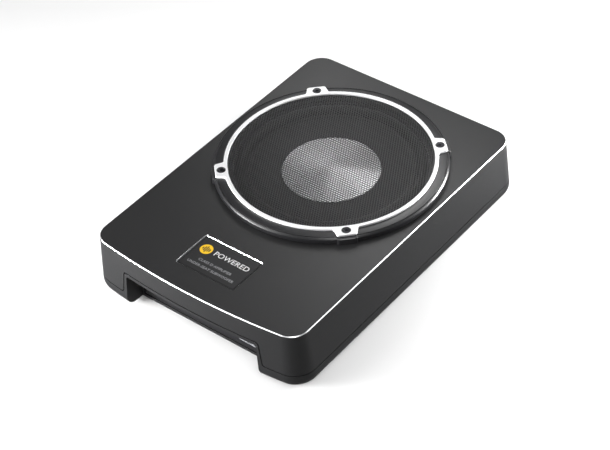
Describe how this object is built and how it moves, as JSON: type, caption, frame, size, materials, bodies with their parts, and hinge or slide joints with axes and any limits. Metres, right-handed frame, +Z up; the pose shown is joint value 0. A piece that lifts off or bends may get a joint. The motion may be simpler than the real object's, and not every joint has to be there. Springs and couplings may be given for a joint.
{
  "type": "powered car subwoofer",
  "caption": "Flat powered under-seat car subwoofer: split metal shell, shallow woofer under a round perforated grille with a bright ring, and a recessed connector and control panel.",
  "frame": {"origin": "under the middle of the enclosure, on the surface its rubber feet stand on", "axes": "+Z up; +X across the width; +Y along the length, from the connector recess towards the woofer end"},
  "size_m": [0.251, 0.358, 0.0761],
  "materials": {
    "housing_powder_coat": "fine-grain black powder coat on die-cast aluminium, with a bright diamond-cut edge",
    "tray_powder_coat": "fine-grain black powder coat",
    "satin_black_ring": "satin moulded ABS",
    "silver_ring": "anodised, finely turned",
    "black_mesh": "satin black painted perforated steel",
    "black_rubber": "matt rubber",
    "cone_paper": "pressed black pulp",
    "spun_aluminium": "spun, radial highlights",
    "spider_cloth": "resin-treated cotton",
    "copper_wire": "enamelled copper winding",
    "zinc_steel": "zinc-plated steel",
    "black_steel": "black e-coated pressed steel",
    "ferrite": "sintered strontium ferrite",
    "bare_aluminium": "extruded",
    "circuit_board": "green solder mask on glass epoxy",
    "black_plastic": "moulded nylon",
    "grey_plastic": "moulded polycarbonate",
    "gold_contacts": "gold flash on brass",
    "fuse_blue": "clear blue polycarbonate",
    "led_red": "diffused epoxy"
  },
  "bodies": {
    "enclosure": {"housing_shell": "housing_powder_coat", "bottom_tray": "tray_powder_coat", "shell_gasket": "black_rubber", "rubber_foot_1": "black_rubber", "rubber_foot_2": "black_rubber", "rubber_foot_3": "black_rubber", "rubber_foot_4": "black_rubber", "tray_screw_1": "zinc_steel", "tray_screw_2": "zinc_steel", "tray_screw_3": "zinc_steel", "tray_screw_4": "zinc_steel", "badge_plate": "satin_black_ring", "trim_ring": "satin_black_ring", "grille_ring": "silver_ring", "grille_mesh": "black_mesh", "grille_screw_1": "zinc_steel", "grille_screw_2": "zinc_steel", "grille_screw_3": "zinc_steel", "grille_screw_4": "zinc_steel", "speaker_basket": "black_steel", "basket_gasket": "black_rubber", "surround": "black_rubber", "surround_clamp_ring": "satin_black_ring", "spider": "spider_cloth", "top_plate": "zinc_steel", "ferrite_magnet": "ferrite", "yoke_and_pole": "zinc_steel", "woofer_terminal": "black_plastic", "woofer_lead_positive": "black_rubber", "woofer_lead_negative": "black_rubber", "amplifier_board": "circuit_board", "heat_spreader": "bare_aluminium", "filter_capacitor_1": "black_plastic", "filter_capacitor_2": "black_plastic", "toroid_choke": "copper_wire", "power_transformer": "copper_wire", "fuse_holder": "black_plastic", "blade_fuse": "fuse_blue", "connector_panel": "satin_black_ring", "panel_screw_1": "zinc_steel", "panel_screw_2": "zinc_steel", "rca_jacks": "black_plastic", "high_level_socket": "black_plastic", "high_level_pins": "gold_contacts", "remote_port": "black_plastic", "power_terminal_block": "grey_plastic", "power_led": "led_red", "gain_pot": "zinc_steel", "crossover_pot": "zinc_steel", "bass_boost_pot": "zinc_steel", "switch_block": "black_plastic"},
    "cone_assembly": {"cone": "cone_paper", "dust_cap": "spun_aluminium", "voice_coil_former": "bare_aluminium", "voice_coil": "copper_wire"},
    "gain_control": {"gain_knob": "black_plastic"},
    "crossover_control": {"crossover_knob": "black_plastic"},
    "bass_boost_control": {"bass_boost_knob": "black_plastic"},
    "phase_switch": {"phase_slider": "grey_plastic"},
    "auto_on_switch": {"auto_on_slider": "grey_plastic"}
  },
  "joints": [
    {"name": "cone_stroke", "type": "slide", "parent": "enclosure", "child": "cone_assembly", "axis": [0, 0, 1], "range_m": [-0.004, 0.004], "stiffness_N_per_m": 3000, "deforming": ["surround", "spider"]},
    {"name": "gain_turn", "type": "hinge", "parent": "enclosure", "child": "gain_control", "pos_m": [-0.014, -0.1545, 0.03], "axis": [0, -1, 0], "range_deg": [-140, 140]},
    {"name": "crossover_turn", "type": "hinge", "parent": "enclosure", "child": "crossover_control", "pos_m": [-0.001, -0.1545, 0.03], "axis": [0, -1, 0], "range_deg": [-140, 140]},
    {"name": "bass_boost_turn", "type": "hinge", "parent": "enclosure", "child": "bass_boost_control", "pos_m": [0.012, -0.1545, 0.03], "axis": [0, -1, 0], "range_deg": [-140, 140]},
    {"name": "phase_slide", "type": "slide", "parent": "enclosure", "child": "phase_switch", "axis": [1, 0, 0], "range_m": [0, 0.004]},
    {"name": "auto_on_slide", "type": "slide", "parent": "enclosure", "child": "auto_on_switch", "axis": [1, 0, 0], "range_m": [0, 0.004]}
  ]
}
